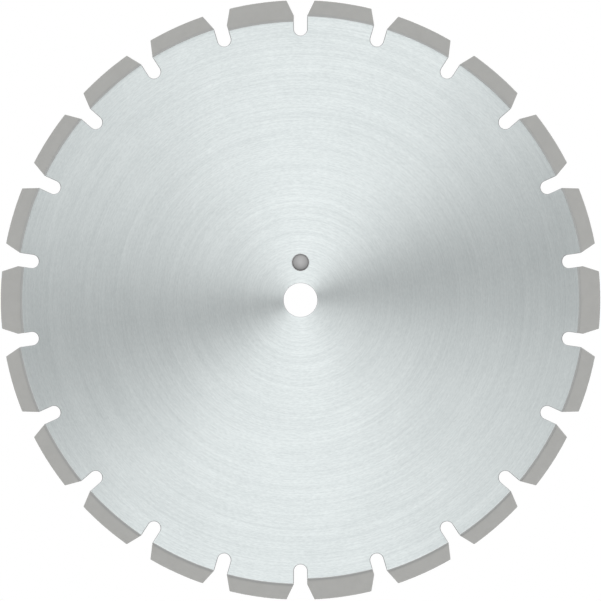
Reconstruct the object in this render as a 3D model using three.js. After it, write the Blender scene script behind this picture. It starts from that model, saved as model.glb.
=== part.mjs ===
// A segmented diamond saw blade for masonry and concrete, as a floor saw carries it.
//
// Millimetres, +Z up. The blade stands upright on its rim with its spin axis along Y, its front
// face towards -Y, and the origin on the axis, half-way through the steel core. Angles are
// counted clockwise from the top, as they are seen from the front.
//
// A flat steel core has a bore for the saw's arbor and a smaller hole for its drive pin, which a
// push-in plug closes. Round-bottomed gullets part its rim into seats. On each seat stands a
// cutting segment on a diamond-free foot, and the foot is what is welded to the core. A few
// segments, spread evenly, reach deeper into the core and guard it against undercutting.

import * as THREE from 'three';

// Steel core
const BLADE_DIAMETER = 450; // across the tips of the segments
const CORE_THICKNESS = 2.8;
const BORE_DIAMETER = 25.4; // for a 1 inch arbor
const PIN_HOLE_DIAMETER = 12.7; // for a 1/2 inch drive pin
const PIN_HOLE_OFFSET = 28.2; // from the bore's axis

// Gullets, one between each two segments
const GULLET_WIDTH = 10;
const GULLET_DEPTH = 10.5; // below the deep segments' base
const FLANK_ANGLE = THREE.MathUtils.degToRad(26); // of a segment's end, to the gullet
const FLANK_START = 0.4; // above the standard segments' base

// Cutting segments, foot included
const SEGMENT_COUNT = 22;
const DEEP_SEGMENT_COUNT = 4;
const SIDE_CLEARANCE = 0.5; // how far a segment stands out of the core on each face
const SEGMENT_HEIGHT = 12;
const DEEP_SEGMENT_HEIGHT = 16;
const FOOT_HEIGHT = 1.4;
const WELD_GAP = 0.3; // between core and foot, and between foot and cutting layer

// Plug in the pin hole, domed on both faces so that it can be tapped out from either side
const PLUG_CLEARANCE = 0.1; // all round
const PLUG_LAND = 0.8; // the cylindrical stretch that the hole grips
const PLUG_SET_BACK = 0.1; // from the segments' faces to each dome's crown

// Smoothness: an arc is drawn with ARC_STEPS chords, a full circle with CIRCLE_ARCS such arcs
const ARC_STEPS = 16;
const CIRCLE_ARCS = 4;
const DOME_STEPS = 8;

// Radii and angles that follow from the sizes above
const TIP_RADIUS = BLADE_DIAMETER / 2;
const STANDARD_BASE = TIP_RADIUS - SEGMENT_HEIGHT;
const DEEP_BASE = TIP_RADIUS - DEEP_SEGMENT_HEIGHT;
const SLOT_HALF = GULLET_WIDTH / 2;
const GULLET_CENTRE = DEEP_BASE - GULLET_DEPTH + SLOT_HALF; // of the round bottom
const FLANK_CORNER = new THREE.Vector2(SLOT_HALF, STANDARD_BASE + FLANK_START);
const PITCH = (2 * Math.PI) / SEGMENT_COUNT;
const PIN_HOLE_RADIUS = PIN_HOLE_DIAMETER / 2;
const SEGMENT_THICKNESS = CORE_THICKNESS + 2 * SIDE_CLEARANCE;

const finish = {
  core: new THREE.MeshStandardMaterial({ color: 0xc9d0d0, roughness: 0.35, metalness: 1 }),
  cutting: new THREE.MeshStandardMaterial({ color: 0xa9aaa7, roughness: 0.8, metalness: 0.4 }),
  foot: new THREE.MeshStandardMaterial({ color: 0x9fa1a0, roughness: 0.7, metalness: 0.6 }),
  plug: new THREE.MeshStandardMaterial({ color: 0xa6a6a6, roughness: 0.6, metalness: 0 }),
};

// Extrudes an outline drawn as seen from the front into a plate centred on the core.
function plateGeometry(outline, thickness) {
  const geometry = new THREE.ExtrudeGeometry(outline, {
    depth: thickness,
    bevelEnabled: false,
    curveSegments: ARC_STEPS / 2, // an arc gets two chords for each
  });
  geometry.translate(0, 0, -thickness / 2);
  geometry.rotateX(Math.PI / 2);
  return geometry;
}

// Draws an arc about the blade's centre between two angles clockwise from the top.
function ringArc(outline, radius, from, to) {
  const top = Math.PI / 2;
  outline.absarc(0, 0, radius, top - from, top - to, to > from);
}

// The angle from a gullet's centre line to its side, at a given distance from the blade's axis.
// The sides run parallel up to the flank corner and lean outwards beyond it.
function sideAngle(radius) {
  if (radius <= FLANK_CORNER.length()) return Math.asin(SLOT_HALF / radius);
  const flank = new THREE.Vector2(Math.sin(FLANK_ANGLE), Math.cos(FLANK_ANGLE));
  const along = FLANK_CORNER.dot(flank);
  const reach = Math.sqrt(along ** 2 - FLANK_CORNER.lengthSq() + radius ** 2) - along;
  const end = FLANK_CORNER.clone().addScaledVector(flank, reach);
  return Math.atan2(end.x, end.y);
}

// Deep segments are spread as evenly as the pitch allows, and the last one ends at the top.
function isDeep(index) {
  const share = SEGMENT_COUNT / DEEP_SEGMENT_COUNT;
  return Math.ceil(Math.ceil((index + 0.5) / share) * share) - 1 === index;
}

function circleHole(x, y, radius) {
  const hole = new THREE.Path();
  for (let i = 0; i < CIRCLE_ARCS; i += 1) {
    const start = (2 * Math.PI * i) / CIRCLE_ARCS;
    hole.absarc(x, y, radius, start, start + (2 * Math.PI) / CIRCLE_ARCS, false);
  }
  return hole;
}

// The core's outline goes round clockwise: a gullet's round bottom, then the seat after it.
function coreGeometry() {
  const outline = new THREE.Shape();
  for (let i = 0; i < SEGMENT_COUNT; i += 1) {
    const angle = i * PITCH;
    const x = GULLET_CENTRE * Math.sin(angle);
    const y = GULLET_CENTRE * Math.cos(angle);
    outline.absarc(x, y, SLOT_HALF, Math.PI - angle, 2 * Math.PI - angle, false);
    const seat = (isDeep(i) ? DEEP_BASE : STANDARD_BASE) - WELD_GAP;
    ringArc(outline, seat, angle + sideAngle(seat), angle + PITCH - sideAngle(seat));
  }
  outline.holes.push(circleHole(0, 0, BORE_DIAMETER / 2));
  outline.holes.push(circleHole(0, PIN_HOLE_OFFSET, PIN_HOLE_RADIUS));
  return plateGeometry(outline, CORE_THICKNESS);
}

// A block between two gullets and two radii, drawn with its middle at the top of the blade.
function blockGeometry(inner, outer) {
  const innerHalf = PITCH / 2 - sideAngle(inner);
  const outerHalf = PITCH / 2 - sideAngle(outer);
  const corner = FLANK_CORNER.length();
  const cornerHalf = PITCH / 2 - sideAngle(corner);
  const bends = inner < corner && corner < outer;
  const outline = new THREE.Shape();
  ringArc(outline, outer, -outerHalf, outerHalf);
  if (bends) outline.lineTo(corner * Math.sin(cornerHalf), corner * Math.cos(cornerHalf));
  ringArc(outline, inner, innerHalf, -innerHalf);
  if (bends) outline.lineTo(-corner * Math.sin(cornerHalf), corner * Math.cos(cornerHalf));
  return plateGeometry(outline, SEGMENT_THICKNESS);
}

// A profile from one dome's crown over the land to the other's, turned about the spin direction.
function plugGeometry() {
  const radius = PIN_HOLE_RADIUS - PLUG_CLEARANCE;
  const crown = SEGMENT_THICKNESS / 2 - PLUG_SET_BACK; // from the core's middle
  const rise = crown - PLUG_LAND / 2;
  const dome = (radius ** 2 + rise ** 2) / (2 * rise); // radius of curvature
  const spread = Math.asin(radius / dome);
  const profile = [];
  for (let i = 0; i <= DOME_STEPS; i += 1) {
    const angle = (spread * i) / DOME_STEPS;
    const height = crown - dome * (1 - Math.cos(angle));
    profile.push(new THREE.Vector2(dome * Math.sin(angle), height));
  }
  const mirrored = profile.map((point) => new THREE.Vector2(point.x, -point.y));
  return new THREE.LatheGeometry([...mirrored, ...profile.reverse()], ARC_STEPS * CIRCLE_ARCS);
}

function addMesh(parent, name, geometry, material) {
  const mesh = new THREE.Mesh(geometry, material);
  mesh.name = name;
  parent.add(mesh);
  return mesh;
}

function addSegments(parent) {
  const blocks = (base) => ({
    foot: blockGeometry(base, base + FOOT_HEIGHT),
    cutting: blockGeometry(base + FOOT_HEIGHT + WELD_GAP, TIP_RADIUS),
  });
  const standard = blocks(STANDARD_BASE);
  const deep = blocks(DEEP_BASE);
  for (let i = 0; i < SEGMENT_COUNT; i += 1) {
    const shapes = isDeep(i) ? deep : standard;
    const kind = isDeep(i) ? 'deep' : 'cutting';
    const number = String(i + 1).padStart(2, '0');
    const place = new THREE.Group();
    place.rotation.y = (i + 0.5) * PITCH;
    addMesh(place, `${kind}_segment_${number}`, shapes.cutting, finish.cutting);
    addMesh(place, `segment_foot_${number}`, shapes.foot, finish.foot);
    parent.add(place);
  }
}

const blade = new THREE.Group();
addMesh(blade, 'steel_core', coreGeometry(), finish.core);
addSegments(blade);
const plug = addMesh(blade, 'pin_hole_plug', plugGeometry(), finish.plug);
plug.position.z = PIN_HOLE_OFFSET;

export default blade;
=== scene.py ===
"""Looks of a segmented diamond saw blade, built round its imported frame.

Metres, +Z up, spin axis along Y, front face towards -Y. Angles run clockwise from the top as
seen from the front, so a point at angle a and radius r lies at x = r sin a, z = r cos a.
"""

import logging
import math
from collections.abc import Mapping, Sequence
from dataclasses import dataclass, field
from enum import Enum, IntEnum

import bpy
import numpy as np
from numpy.typing import NDArray
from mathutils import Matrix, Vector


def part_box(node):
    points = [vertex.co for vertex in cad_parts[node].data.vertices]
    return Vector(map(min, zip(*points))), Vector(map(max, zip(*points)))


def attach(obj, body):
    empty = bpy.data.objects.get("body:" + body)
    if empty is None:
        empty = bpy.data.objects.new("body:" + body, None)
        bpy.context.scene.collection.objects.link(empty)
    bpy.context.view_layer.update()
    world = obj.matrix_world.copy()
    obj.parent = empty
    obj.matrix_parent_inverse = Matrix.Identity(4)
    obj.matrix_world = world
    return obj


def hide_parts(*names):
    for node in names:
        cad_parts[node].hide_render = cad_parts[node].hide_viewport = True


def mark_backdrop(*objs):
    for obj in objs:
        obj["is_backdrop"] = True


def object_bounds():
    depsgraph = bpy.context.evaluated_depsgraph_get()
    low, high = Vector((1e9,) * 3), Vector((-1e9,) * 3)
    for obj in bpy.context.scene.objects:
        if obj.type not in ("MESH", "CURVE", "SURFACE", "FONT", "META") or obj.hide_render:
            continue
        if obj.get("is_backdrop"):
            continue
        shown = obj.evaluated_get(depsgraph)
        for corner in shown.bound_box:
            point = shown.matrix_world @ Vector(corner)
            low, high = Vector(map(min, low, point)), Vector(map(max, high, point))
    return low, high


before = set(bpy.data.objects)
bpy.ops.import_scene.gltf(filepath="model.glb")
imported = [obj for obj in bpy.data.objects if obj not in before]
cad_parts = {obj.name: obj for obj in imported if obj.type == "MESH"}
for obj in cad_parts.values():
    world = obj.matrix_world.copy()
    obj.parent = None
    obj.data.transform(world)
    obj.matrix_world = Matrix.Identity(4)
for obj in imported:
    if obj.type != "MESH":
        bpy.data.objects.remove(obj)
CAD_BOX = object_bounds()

Array = NDArray[np.float64]
MM = 0.001
PLUG_CLEARANCE = 0.1 * MM
LOG = logging.getLogger("diamond_blade")


class Body(Enum):
    """The frame's rigid bodies."""

    BLADE = "blade"
    PLUG = "plug"


class Slot(Enum):
    """The record's material slots."""

    CORE = "core_steel"
    SEGMENT = "diamond_segment"
    FOOT = "segment_foot"
    PLUG = "plug"


class Side(Enum):
    """A face of the blade, by the sign of its Y."""

    FRONT = -1.0
    BACK = 1.0


class FinishNumber(IntEnum):
    """The number of a face's material, on a piece that has one or two."""

    MAIN = 0
    SECOND = 1


def numbered(kind: str, index: int) -> str:
    """Names a segment's node or piece of a kind. The names count from 01, clockwise."""
    return f"{kind}_{index + 1:02d}"


# ---------------------------------------------------------------------------- shader maths


class Value:
    """A shader number that Python's operators work on. Each operation adds one Math node."""

    def __init__(self, graph: "Graph", socket: bpy.types.NodeSocket) -> None:
        """Wraps an output socket of a graph's node."""
        self.graph = graph
        self.socket = socket

    def math(self, operation: str, *others: "Value | float") -> "Value":
        """Applies a Math node's operation with this value as its first input.

        Args:
            operation: The Math node's operation.
            others: The remaining inputs.

        Returns:
            The result.
        """
        inputs = dict(enumerate((self, *others)))
        return self.graph.value("ShaderNodeMath", {"operation": operation}, inputs)

    def __add__(self, other: "Value | float") -> "Value":
        """Adds."""
        return self.math("ADD", other)

    def __radd__(self, other: float) -> "Value":
        """Adds to a plain number."""
        return self.math("ADD", other)

    def __sub__(self, other: "Value | float") -> "Value":
        """Subtracts."""
        return self.math("SUBTRACT", other)

    def __rsub__(self, other: float) -> "Value":
        """Is subtracted from a plain number."""
        return (self * -1.0).math("ADD", other)

    def __mul__(self, other: "Value | float") -> "Value":
        """Multiplies."""
        return self.math("MULTIPLY", other)

    def __rmul__(self, other: float) -> "Value":
        """Multiplies a plain number."""
        return self.math("MULTIPLY", other)

    def __truediv__(self, other: "Value | float") -> "Value":
        """Divides."""
        return self.math("DIVIDE", other)

    def clamped(self) -> "Value":
        """Limits the value to between 0 and 1."""
        return self.math("MAXIMUM", 0.0).math("MINIMUM", 1.0)

    def between(self, start: float, end: float) -> "Value":
        """Rises evenly from 0 at start to 1 at end, and stays there.

        Args:
            start: The value that gives 0.
            end: The value that gives 1. It may be the lower one.

        Returns:
            The share of the way.
        """
        return ((self - start) * (1.0 / (end - start))).clamped()


class Graph:
    """The node tree of a material or world, with one method that makes its nodes."""

    def __init__(self, tree: bpy.types.NodeTree) -> None:
        """Empties a node tree and takes it over."""
        self.tree = tree
        tree.nodes.clear()

    def node(
        self,
        kind: str,
        settings: Mapping[str, object] | None = None,
        inputs: Mapping[str | int, object] | None = None,
    ) -> bpy.types.Node:
        """Adds a node, sets it up and then fills its sockets.

        Args:
            kind: The node's type.
            settings: The node's own properties.
            inputs: A value, a Value or an output socket for each input's name or number.

        Returns:
            The node.
        """
        made = self.tree.nodes.new(kind)
        for name, setting in (settings or {}).items():
            setattr(made, name, setting)
        for name, given in (inputs or {}).items():
            given = given.socket if isinstance(given, Value) else given
            if isinstance(given, bpy.types.NodeSocket):
                self.tree.links.new(given, made.inputs[name])
            else:
                made.inputs[name].default_value = given
        return made

    def value(
        self,
        kind: str,
        settings: Mapping[str, object] | None = None,
        inputs: Mapping[str | int, object] | None = None,
        output: str | int = 0,
    ) -> Value:
        """Adds a node and wraps one of its outputs.

        Args:
            kind: The node's type.
            settings: The node's own properties.
            inputs: What its inputs hold.
            output: The output's name or number.

        Returns:
            The output as a Value.
        """
        return Value(self, self.node(kind, settings, inputs).outputs[output])

    def vector(self, x: Value | float, y: Value | float, z: Value | float) -> bpy.types.NodeSocket:
        """Joins three numbers into a vector."""
        return self.node("ShaderNodeCombineXYZ", None, {0: x, 1: y, 2: z}).outputs[0]

    def noise(
        self,
        place: bpy.types.NodeSocket,
        scale: float,
        detail: float = 2.0,
        roughness: float = 0.5,
    ) -> Value:
        """Gives smooth noise about 0, from -0.5 to 0.5.

        Args:
            place: The coordinates that it is read at.
            scale: How many features there are to a unit.
            detail: How many finer octaves are added.
            roughness: How strong the finer octaves are.

        Returns:
            The noise.
        """
        inputs = {"Vector": place, "Scale": scale, "Detail": detail, "Roughness": roughness}
        return self.value("ShaderNodeTexNoise", None, inputs, "Fac") - 0.5

    def principled(self, dressing: Mapping[str, object]) -> bpy.types.NodeSocket:
        """Adds a Principled shader with what its sockets hold."""
        return self.node("ShaderNodeBsdfPrincipled", None, dressing).outputs[0]

    def blend(
        self,
        factor: Value | float,
        first: Sequence[float] | bpy.types.NodeSocket,
        second: Sequence[float] | bpy.types.NodeSocket,
    ) -> bpy.types.NodeSocket:
        """Mixes two colours.

        Args:
            factor: 0 for the first, 1 for the second.
            first: A colour or a socket with one.
            second: A colour or a socket with one.

        Returns:
            The mixed colour.
        """
        colours = [c if isinstance(c, bpy.types.NodeSocket) else (*c, 1.0) for c in (first, second)]
        settings = {"data_type": "RGBA"}
        inputs = {"Factor": factor, 6: colours[0], 7: colours[1]}
        return self.node("ShaderNodeMix", settings, inputs).outputs[2]

    def bump(self, height: Value, distance: float) -> bpy.types.NodeSocket:
        """Turns a height into a normal.

        Args:
            height: The height, about 0.
            distance: The metres that a height of 1 stands for.

        Returns:
            The normal.
        """
        inputs = {"Height": height, "Distance": distance, "Strength": 1.0}
        return self.node("ShaderNodeBump", None, inputs).outputs[0]


@dataclass(frozen=True)
class Place:
    """Where on the blade a shader looks, from Object coordinates.

    Attributes:
        point: The Object coordinates.
        x: To the right.
        y: Along the spin axis.
        z: Up.
        radius: The distance from the spin axis.
    """

    point: bpy.types.NodeSocket
    x: Value
    y: Value
    z: Value
    radius: Value

    @classmethod
    def read(cls, graph: Graph) -> "Place":
        """Adds the nodes that read the place.

        Args:
            graph: The material's graph.

        Returns:
            The place.
        """
        point = graph.node("ShaderNodeTexCoord").outputs["Object"]
        parts = graph.node("ShaderNodeSeparateXYZ", None, {0: point})
        x, y, z = (Value(graph, output) for output in parts.outputs)
        radius = (x * x + z * z).math("SQRT")
        return cls(point, x, y, z, radius)


# ---------------------------------------------------------------------------- finishes


def new_material(name: str) -> tuple[bpy.types.Material, Graph, Place]:
    """Makes an empty material with nodes, and reads the place.

    Args:
        name: The material's name.

    Returns:
        The material, its graph and the place.
    """
    material = bpy.data.materials.new(name)
    material.use_nodes = True
    graph = Graph(material.node_tree)
    return material, graph, Place.read(graph)


def finish_surface(graph: Graph, shader: bpy.types.NodeSocket) -> None:
    """Sends a shader to the material's output."""
    graph.node("ShaderNodeOutputMaterial", None, {"Surface": shader})


@dataclass(frozen=True)
class Marks:
    """One kind of grinding mark.

    Attributes:
        pitch: The distance between two marks.
        length: How long a mark is.
        shade: How much the marks darken the steel.
        depth: How deep they are, as a share of the groove depth.
    """

    pitch: float
    length: float
    shade: float
    depth: float = 0.0


@dataclass(frozen=True)
class GroundSteel:
    """Steel ground in circles about the spin axis, so that its gloss spreads along the radius.

    The grain is drawn by a ring of shaders. Each has its grain turned a fixed share of a half
    turn, and the angle round the axis fades each into the next.

    Attributes:
        colour: The lightest steel.
        dark_colour: The darkest.
        roughness: The roughness without wear.
        wear_roughness: How much wear adds to it.
        anisotropy: How far the gloss is drawn out across the grain.
        grain_steps: How many shaders there are to a half turn.
        groove_depth: The depth that the marks' depths are shares of.
        rings: Long marks round the axis.
        streaks: Short strokes of the grinding belt.
        lines: Hair lines.
        bands: Wide, faint bands from the belt's passes.
        side_contrast: The marks' contrast at the sides, as a share of that at the top.
        clouds_to_metre: How many clouds there are to a metre.
        cloud_shade: How much the clouds darken the steel.
        rim_shade: How much darker the steel is at the rim than at the axis.
        base_shade: How dark it is without any of these.
    """

    colour: tuple[float, float, float] = (0.85, 0.90, 0.90)
    dark_colour: tuple[float, float, float] = (0.70, 0.75, 0.753)
    roughness: float = 0.46
    wear_roughness: float = 0.04
    anisotropy: float = 0.88
    grain_steps: int = 24
    groove_depth: float = 0.007 * MM
    rings: Marks = Marks(1.2 * MM, 115.0 * MM, 1.1, 0.85)
    streaks: Marks = Marks(0.75 * MM, 2.9 * MM, 1.65, 1.1)
    lines: Marks = Marks(0.2 * MM, 12.0 * MM, 0.8, 0.3)
    bands: Marks = Marks(9.0 * MM, 75.0 * MM, 0.36)
    side_contrast: float = 0.65
    clouds_to_metre: float = 18.0
    cloud_shade: float = 0.5
    rim_shade: float = 0.23
    base_shade: float = 0.37

    def make(self, rim_radius: float) -> bpy.types.Material:
        """Builds the material.

        The fine marks show most at the top and bottom: their contrast goes with the square of
        the height over the radius. Wear is the fine marks, the bands and the clouds together.

        Args:
            rim_radius: The radius at which the steel is darkest.

        Returns:
            The material.
        """
        material, graph, place = new_material("ground_steel")
        rings = self.marks(graph, place, self.rings)
        streaks = self.marks(graph, place, self.streaks)
        lines = self.marks(graph, place, self.lines)
        bands = self.marks(graph, place, self.bands)
        cloud = graph.noise(place.point, self.clouds_to_metre, detail=3.0, roughness=0.6)
        upright = (place.z / place.radius).math("POWER", 2.0)
        contrast = upright * (1.0 - self.side_contrast) + self.side_contrast
        fine = rings * self.rings.shade + streaks * self.streaks.shade + lines * self.lines.shade
        wear = fine * contrast + bands * self.bands.shade + cloud * self.cloud_shade
        shade = wear + place.radius * (self.rim_shade / rim_radius) + self.base_shade
        colour = graph.blend(shade.clamped(), self.colour, self.dark_colour)
        rough = (wear * self.wear_roughness + self.roughness).clamped()
        deep = rings * self.rings.depth + streaks * self.streaks.depth + lines * self.lines.depth
        normal = graph.bump(deep * contrast, self.groove_depth)
        dressing = {"Base Color": colour, "Metallic": 1.0, "Roughness": rough, "Normal": normal}
        finish_surface(graph, self.grain_ring(graph, place, dressing))
        return material

    def marks(self, graph: Graph, place: Place, kind: Marks) -> Value:
        """Gives noise that is fine along the radius and long round the axis.

        It is read at the place across and up over the length, and the radius over the pitch,
        so it has no seam.

        Args:
            graph: The material's graph.
            place: Where it looks.
            kind: The marks' pitch and length.

        Returns:
            The noise.
        """
        across = place.x * (1.0 / kind.length)
        up = place.z * (1.0 / kind.length)
        out = place.radius * (1.0 / kind.pitch)
        return graph.noise(graph.vector(across, up, out), scale=1.0, roughness=0.55)

    def grain_ring(
        self, graph: Graph, place: Place, dressing: Mapping[str, object]
    ) -> bpy.types.NodeSocket:
        """Chains the shaders whose grain is turned step by step round the axis.

        An unturned grain runs across the blade on both faces. At an angle a from the top the
        gloss has to be turned by a quarter turn minus a, and as the back face is seen the other
        way round, a counts backwards there.

        Args:
            graph: The material's graph.
            place: Where it looks.
            dressing: What all the shaders share.

        Returns:
            The last shader of the chain.
        """
        facing = place.y.math("SIGN") * -1.0
        angle = (place.x * facing).math("ARCTAN2", place.z)
        step = (0.5 - angle * (1.0 / math.pi)).math("FRACT") * float(self.grain_steps)

        def turned(index: int) -> bpy.types.NodeSocket:
            """Makes the shader for one step of the half turn.

            Args:
                index: Which step.

            Returns:
                The shader.
            """
            constants = {
                "Anisotropic": self.anisotropy,
                "Anisotropic Rotation": 0.5 * (index % self.grain_steps) / self.grain_steps,
            }
            return graph.principled({**dressing, **constants})

        shader = turned(0)
        for index in range(1, self.grain_steps + 1):
            factor = (step - float(index - 1)).clamped()
            inputs = {0: factor, 1: shader, 2: turned(index)}
            shader = graph.node("ShaderNodeMixShader", None, inputs).outputs[0]
        return shader


@dataclass(frozen=True)
class CutSteel:
    """A laser-cut edge: duller than the ground faces, with fine lines across its thickness.

    Attributes:
        colour: The cleaner steel.
        scorch: The scorched steel.
        roughness: The roughness in the middle of its range.
        line_pitch: The distance between the beam's lines.
        line_depth: How deep they are.
        line_shortening: How much the noise is drawn out along the thickness, as a factor on Y.
        patches_to_metre: How many scorched patches there are to a metre.
    """

    colour: tuple[float, float, float] = (0.38, 0.395, 0.40)
    scorch: tuple[float, float, float] = (0.24, 0.24, 0.235)
    roughness: float = 0.42
    line_pitch: float = 0.35 * MM
    line_depth: float = 0.02 * MM
    line_shortening: float = 0.05
    patches_to_metre: float = 90.0

    def make(self) -> bpy.types.Material:
        """Builds the material. The beam's lines are noise drawn out along the thickness.

        Returns:
            The material.
        """
        material, graph, place = new_material("cut_steel")
        across = graph.vector(place.x, place.y * self.line_shortening, place.z)
        lines = graph.noise(across, 1.0 / self.line_pitch)
        patches = graph.noise(place.point, self.patches_to_metre, detail=3.0)
        burn = (lines * 0.6 + patches * 1.2 + 0.35).clamped()
        dressing = {
            "Base Color": graph.blend(burn, self.colour, self.scorch),
            "Metallic": 1.0,
            "Roughness": (patches * 0.2 + self.roughness).clamped(),
            "Normal": graph.bump(lines, self.line_depth),
        }
        finish_surface(graph, graph.principled(dressing))
        return material


@dataclass(frozen=True)
class SinteredMetal:
    """Pressed and sintered metal powder: dry, fine-grained and faintly mottled.

    Attributes:
        name: The material's name.
        colour: The lighter grains.
        pore_colour: The darker ones.
        painted_shadow_colour: The colour that the painted shadow band darkens it towards.
        roughness: The roughness in the middle of its range.
        metallic: How metallic it is.
        grain: A grain's size.
        grain_depth: How deep the grain is.
        pores_to_grain: How many pores there are to a grain's length.
        shadow_band_height: The painted shadow band's middle above the base.
        shadow_band_width: How far from there it falls to about a third.
        most_painted_shadow: How dark the painted shadow gets.
        shadow_band_start: The height where the painted shadow begins, as a share of the tip's radius.
        shadow_band_full: The height where it is full, as a share of the tip's radius.
        mottle_to_metre: How many mottles there are to a metre.
    """

    name: str
    colour: tuple[float, float, float]
    pore_colour: tuple[float, float, float]
    painted_shadow_colour: tuple[float, float, float] = (0.04, 0.045, 0.05)
    roughness: float = 0.72
    metallic: float = 0.35
    grain: float = 0.28 * MM
    grain_depth: float = 0.03 * MM
    pores_to_grain: float = 0.45
    shadow_band_height: float = 1.1 * MM
    shadow_band_width: float = 1.0 * MM
    most_painted_shadow: float = 0.18
    shadow_band_start: float = 0.35
    shadow_band_full: float = -0.9
    mottle_to_metre: float = 140.0

    def make(self, base: float, tip: float) -> bpy.types.Material:
        """Builds the material for segments that begin at one base radius.

        A soft band of painted shadow lies above the base, a bell curve of the height. The
        segments at the top have none. It grows evenly from one height down to another.

        Args:
            base: The radius of the segments' base.
            tip: The radius of their tips.

        Returns:
            The material.
        """
        material, graph, place = new_material(self.name)
        grains = graph.noise(place.point, 1.0 / self.grain, roughness=0.6)
        pores = graph.noise(place.point, self.pores_to_grain / self.grain, detail=1.0)
        mottle = graph.noise(place.point, self.mottle_to_metre, detail=3.0, roughness=0.6)
        shade = (grains * 0.9 + mottle * 0.6 + 0.5).clamped()
        colour = graph.blend(shade, self.pore_colour, self.colour)
        # Painted shadow: a dark band just above the base, growing towards the lower segments as shade
        # from above does.
        above = (place.radius - (base + self.shadow_band_height)) * (1.0 / self.shadow_band_width)
        band = (above * above * -1.0).math("EXPONENT")
        lateness = place.z.between(self.shadow_band_start * tip, self.shadow_band_full * tip)
        painted_base_shadow = band * lateness * (mottle * 0.08 + self.most_painted_shadow)
        dressing = {
            "Base Color": graph.blend(painted_base_shadow.clamped(), colour, self.painted_shadow_colour),
            "Metallic": self.metallic,
            "Roughness": (grains * 0.2 + self.roughness).clamped(),
            "Normal": graph.bump(grains + pores, self.grain_depth),
        }
        finish_surface(graph, graph.principled(dressing))
        return material


@dataclass(frozen=True)
class Diamond:
    """Grit crystals: yellowish and glassy, but opaque with the metal round them."""

    colour: tuple[float, float, float] = (0.52, 0.52, 0.46)
    dark_colour: tuple[float, float, float] = (0.36, 0.37, 0.35)
    roughness: float = 0.3
    coat: float = 0.4
    tones_to_metre: float = 400.0

    def make(self) -> bpy.types.Material:
        """Builds the material.

        Returns:
            The material.
        """
        material, graph, place = new_material("diamond_grit")
        tone = graph.noise(place.point, self.tones_to_metre, detail=1.0)
        dressing = {
            "Base Color": graph.blend((tone * 2.0 + 0.5).clamped(), self.colour, self.dark_colour),
            "Roughness": (tone * 0.4 + self.roughness).clamped(),
            "Coat Weight": self.coat,
        }
        finish_surface(graph, graph.principled(dressing))
        return material


@dataclass(frozen=True)
class WeldMetal:
    """A laser weld's bead: bright once-molten steel with a grey heat tint.

    Attributes:
        colour: The bright steel.
        tint: The tinted steel.
        roughness: The roughness in the middle of its range.
        patches_to_metre: How many patches of tint there are to a metre.
        skin_to_metre: How many pits its skin has to a metre.
        skin_depth: How deep they are.
        middle_heat: How tinted it is level with the spin axis.
        darkening_to_metre: How much darker it is a metre further down.
    """

    colour: tuple[float, float, float] = (0.95, 0.97, 0.97)
    tint: tuple[float, float, float] = (0.70, 0.71, 0.70)
    roughness: float = 0.6
    patches_to_metre: float = 260.0
    skin_to_metre: float = 5000.0
    skin_depth: float = 0.01 * MM
    middle_heat: float = 0.45
    darkening_to_metre: float = 1.8

    def make(self) -> bpy.types.Material:
        """Builds the material, darker towards the bottom.

        Returns:
            The material.
        """
        material, graph, place = new_material("weld_metal")
        patches = graph.noise(place.point, self.patches_to_metre, detail=3.0)
        skin = graph.noise(place.point, self.skin_to_metre, detail=1.0)
        # Random patches of heat tint, and darker towards the bottom.
        tint_and_darkening = (patches + self.middle_heat - place.z * self.darkening_to_metre).clamped()
        dressing = {
            "Base Color": graph.blend(tint_and_darkening, self.colour, self.tint),
            "Metallic": 1.0,
            "Roughness": (patches * 0.3 + self.roughness).clamped(),
            "Normal": graph.bump(skin, self.skin_depth),
        }
        finish_surface(graph, graph.principled(dressing))
        return material


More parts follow.
